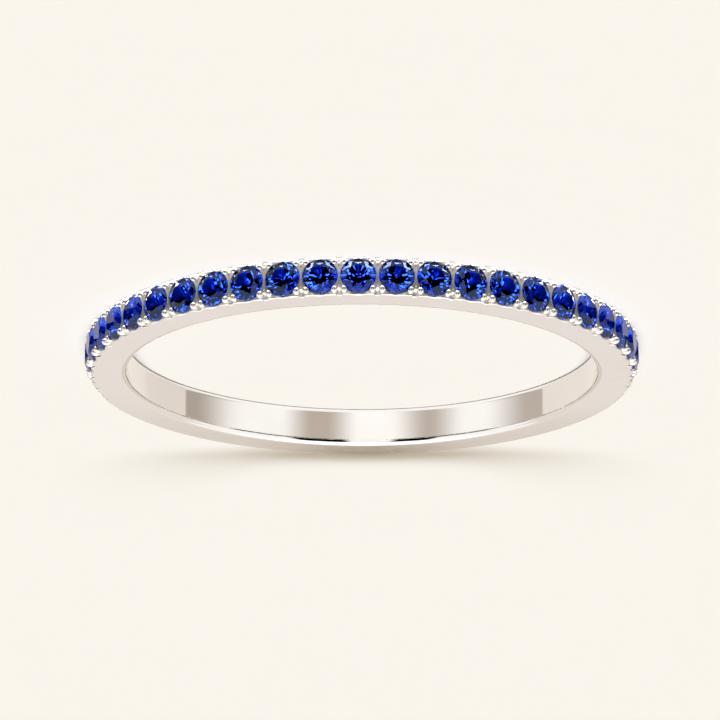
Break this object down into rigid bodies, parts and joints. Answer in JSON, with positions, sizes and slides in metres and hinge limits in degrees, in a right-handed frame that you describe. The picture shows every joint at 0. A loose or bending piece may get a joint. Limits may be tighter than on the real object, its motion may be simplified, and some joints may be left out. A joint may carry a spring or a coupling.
{
  "type": "sapphire ring",
  "caption": "Slim polished finger ring whose outer face carries one row of round blue stones, held by pairs of small round prongs between thin bars.",
  "frame": {"origin": "centre of the finger hole, halfway between the two side faces", "axes": "+Z along the axis of the finger hole, the middle of the stone row towards -Y, the plain shank towards +Y"},
  "size_m": [0.02, 0.0197, 0.0014],
  "materials": {
    "white_gold": "cast and mirror polished white gold",
    "sapphire": "faceted and polished, deep royal blue"
  },
  "bodies": {
    "root": {"band": "white_gold", "sapphire_01": "sapphire", "sapphire_02": "sapphire", "sapphire_03": "sapphire", "sapphire_04": "sapphire", "sapphire_05": "sapphire", "sapphire_06": "sapphire", "sapphire_07": "sapphire", "sapphire_08": "sapphire", "sapphire_09": "sapphire", "sapphire_10": "sapphire", "sapphire_11": "sapphire", "sapphire_12": "sapphire", "sapphire_13": "sapphire", "sapphire_14": "sapphire", "sapphire_15": "sapphire", "sapphire_16": "sapphire", "sapphire_17": "sapphire", "sapphire_18": "sapphire", "sapphire_19": "sapphire", "sapphire_20": "sapphire", "sapphire_21": "sapphire", "sapphire_22": "sapphire", "sapphire_23": "sapphire", "sapphire_24": "sapphire", "sapphire_25": "sapphire", "sapphire_26": "sapphire", "sapphire_27": "sapphire"}
  },
  "joints": []
}
